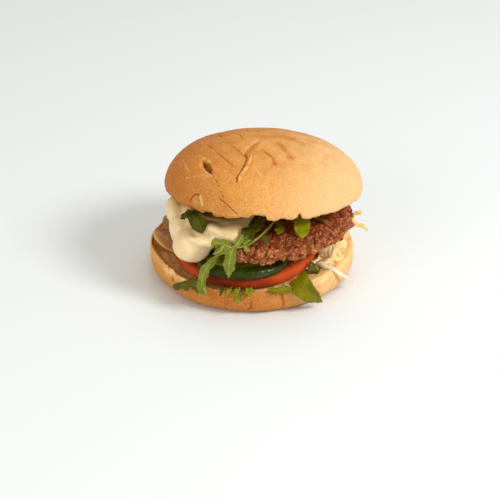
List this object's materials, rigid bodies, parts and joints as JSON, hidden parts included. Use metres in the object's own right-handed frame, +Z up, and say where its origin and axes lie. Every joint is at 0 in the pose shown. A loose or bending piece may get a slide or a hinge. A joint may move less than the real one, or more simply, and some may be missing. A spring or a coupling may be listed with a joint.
{
  "type": "veggie burger",
  "caption": "Round wheat bun stacked with a craggy vegetable patty, tomato, cucumber, pickle and onion slices, shredded cabbage, rocket, salad leaves and mayonnaise running down one side.",
  "frame": {"origin": "middle of the flat underside of the lower bun, on the surface it stands on", "axes": "+Z up, -Y the front that is dressed, +X to the right seen from the front"},
  "size_m": [0.1244, 0.1196, 0.0815],
  "materials": {
    "crust": "baked bread crust, matte with a soft sheen",
    "patty_brown": "seared, moist and craggy",
    "tomato_red": "wet tomato skin",
    "cucumber_green": "wet cucumber skin and pale flesh",
    "pickle_olive": "wet pickled cucumber",
    "onion_tan": "translucent fried onion",
    "mayonnaise": "thick creamy sauce",
    "cabbage_white": "dressed shredded cabbage",
    "leaf_dark": "dark salad leaf",
    "leaf_light": "light salad leaf"
  },
  "bodies": {
    "root": {"bun_bottom": "crust", "cabbage_salad": "cabbage_white", "onion_slice": "onion_tan", "tomato_slice": "tomato_red", "cucumber_slice": "cucumber_green", "pickle_slice_side": "pickle_olive", "patty": "patty_brown", "sauce": "mayonnaise", "pickle_slice_top": "pickle_olive", "rocket_left": "leaf_dark", "rocket_sprig": "leaf_light", "rocket_crown": "leaf_dark", "rocket_nub": "leaf_light", "rocket_front": "leaf_light", "rocket_right": "leaf_light", "salad_left": "leaf_dark", "salad_front": "leaf_light", "salad_right": "leaf_light", "salad_right_inner": "leaf_dark", "salad_curl_1": "leaf_light", "salad_curl_2": "leaf_light", "salad_curl_3": "leaf_light", "salad_curl_4": "leaf_light", "cabbage_shred_front": "cabbage_white", "cabbage_shred_side": "cabbage_white", "cabbage_shred_high": "cabbage_white", "bun_top": "crust"}
  },
  "joints": []
}
